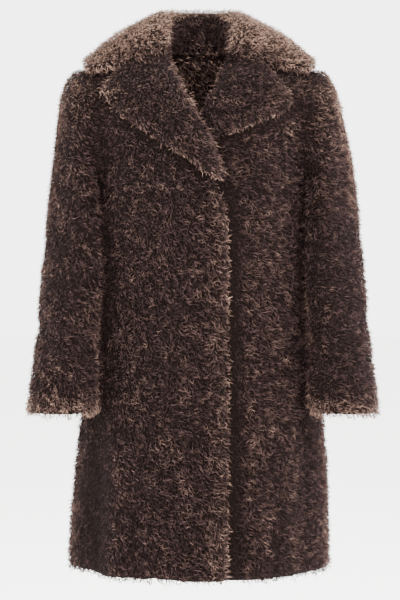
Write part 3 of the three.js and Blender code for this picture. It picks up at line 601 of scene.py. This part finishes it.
def growPile(shell, name, seed, keep=None):  # keep picks the points that this part of the pile grows on
    source = bpy.data.objects.new("source", shell.data.copy())
    bpy.context.scene.collection.objects.link(source)
    if keep:
        points, _ = meshArrays(source.data)
        layer = source.data.attributes["furShare"].data
        share = np.empty(len(points), np.float32)
        layer.foreach_get("value", share)
        layer.foreach_set("value", share * keep(points).astype(np.float32))
    modifier = source.modifiers.new("pile", "NODES")
    modifier.node_group = curlyPile
    values = {**pileSizes, "Seed": seed, "Locks": lockFolder, "Material": pile}
    for item in curlyPile.interface.items_tree:
        if item.in_out == "INPUT" and item.name in values:
            modifier[item.identifier] = values[item.name]
    mesh = bpy.data.meshes.new_from_object(source.evaluated_get(bpy.context.evaluated_depsgraph_get()))
    bpy.data.objects.remove(source)
    obj = bpy.data.objects.new(name, mesh)
    bpy.context.scene.collection.objects.link(obj)
    mesh.name = name
    triangles = sum(len(p.vertices) - 2 for p in mesh.polygons)
    print(name, triangles, "triangles")
    return obj


# Each sewn piece. side: where the fur is. voxel, pull (how far its open edges draw back), rise (how far they puff
# up), pile (height left free) and seamEnd (where the gorge seam ends) are in mm, flat and area in metres. under and
# beside: what tamps its pile and lays painted shade on it
splitZ = -0.43
sewn = {
    "back": {
        "side": "out", "lined": True, "voxel": 7, "pull": 6, "rise": 2, "pile": 6,
        "sewnTo": ["front_right", "front_left", "sleeve_right", "sleeve_left"],
        "under": ["collar"], "beside": ["sleeve_right", "sleeve_left"], "flat": (0.6, 0.93), "area": 0.47},
    "back_neck_facing": {
        "side": "in", "lined": False, "voxel": 5, "pull": 5, "rise": 0, "pile": 4,
        "sewnTo": ["back", "collar"],
        "under": [], "beside": [], "flat": (0.17, 0.14), "area": 0.021},
    "collar": {
        "side": "both", "lined": False, "voxel": 5, "pull": 5, "rise": 2, "pile": 3,
        "sewnTo": ["back", "back_neck_facing", "lapel_right", "lapel_left"],
        "under": [], "beside": [], "flat": (0.56, 0.24), "area": 0.1},
    "front_right": {
        "side": "out", "lined": True, "voxel": 7, "pull": 10, "rise": 2, "pile": 6,
        "sewnTo": ["back", "sleeve_right"],
        "under": ["lapel_right", "lapel_left", "collar"], "beside": ["sleeve_right"],
        "flat": (0.36, 0.93), "area": 0.28},
    "front_left": {
        "side": "out", "lined": True, "voxel": 7, "pull": 6, "rise": 2, "pile": 6,
        "sewnTo": ["back", "sleeve_left"],
        "under": ["front_right", "lapel_left", "collar"], "beside": ["sleeve_left"],
        "flat": (0.33, 0.93), "area": 0.25},
    "lapel_right": {
        "side": "out", "lined": False, "voxel": 4.5, "pull": 6, "rise": 3, "pile": 2,
        "sewnTo": ["collar"], "seamEnd": 138,
        "under": ["collar"], "beside": [], "flat": (0.17, 0.23), "area": 0.026},
    "lapel_left": {
        "side": "out", "lined": False, "voxel": 4.5, "pull": 6, "rise": 3, "pile": 2,
        "sewnTo": ["collar"], "seamEnd": 112,
        "under": ["collar"], "beside": [], "flat": (0.16, 0.18), "area": 0.02},
    "sleeve_right": {
        "side": "out", "lined": True, "voxel": 6, "pull": 6, "rise": 2, "pile": 6,
        "sewnTo": ["front_right", "back"],
        "under": ["collar"], "beside": ["front_right", "back"], "flat": (0.44, 0.64), "area": 0.2},
    "sleeve_left": {
        "side": "out", "lined": True, "voxel": 6, "pull": 6, "rise": 2, "pile": 6,
        "sewnTo": ["front_left", "back"],
        "under": ["collar"], "beside": ["front_left", "back"], "flat": (0.44, 0.64), "area": 0.2},
}
backSeed, otherSeeds = 10, 20
for seed, (node, facts) in enumerate(sewn.items()):
    shell = makeShell(node, "cloth_" + node, facts)
    if node == "back":
        fur = [growPile(shell, "pile_back_upper", backSeed, lambda p: p[:, 2] > splitZ),
               growPile(shell, "pile_back_lower", backSeed + 1, lambda p: p[:, 2] <= splitZ)]
    else:
        fur = [growPile(shell, "pile_" + node, otherSeeds + seed)]
    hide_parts(node)
    for piece in [shell, *fur]:
        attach(piece, "root")
    print(node, "cloth area", round(sum(p.area for p in shell.data.polygons) / 2, 3))
for lock in list(lockFolder.objects):
    bpy.data.objects.remove(lock)
bpy.data.collections.remove(lockFolder)
print("coat ready")

# Pale floor and plain soft light
studio = {"floorZ": -1.31, "floorRadius": 14, "world": 5, "aim": (0, 0, -0.35)}
floorMaterial, floorTree, floorShader = newMaterial("matt_white_paper", **{"Roughness": 0.9})
floorShader.inputs["Base Color"].default_value = linear("#f6f5f3")
bpy.ops.mesh.primitive_circle_add(vertices=96, radius=studio["floorRadius"], fill_type="NGON",
                                  location=(0, 0, studio["floorZ"]))
floor = bpy.context.object
floor.name = "floor"
floor.data.materials.append(floorMaterial)

world = bpy.data.worlds.new("studio")
bpy.context.scene.world = world
world.use_nodes = True
world.node_tree.nodes["Background"].inputs["Color"].default_value = linear("#ffffff")
world.node_tree.nodes["Background"].inputs["Strength"].default_value = studio["world"]

lamps = [  # place, size, watts
    ((-1.5, -2.2, 2.0), 1.4, 70),
    ((1.5, -2.2, 1.8), 1.4, 130),
    ((0, 1.6, 2.2), 1.6, 110),
    ((-2.4, -0.5, -0.3), 1.6, 150),
    ((2.4, -0.5, -0.3), 1.6, 150),
]
for i, (place, size, watts) in enumerate(lamps):
    lamp = bpy.data.objects.new(f"softbox_{i}", bpy.data.lights.new(f"softbox_{i}", "AREA"))
    lamp.data.size, lamp.data.energy = size, watts
    lamp.location = place
    lamp.rotation_euler = (Vector(studio["aim"]) - lamp.location).to_track_quat("-Z", "Y").to_euler()
    bpy.context.scene.collection.objects.link(lamp)
print("light ready")
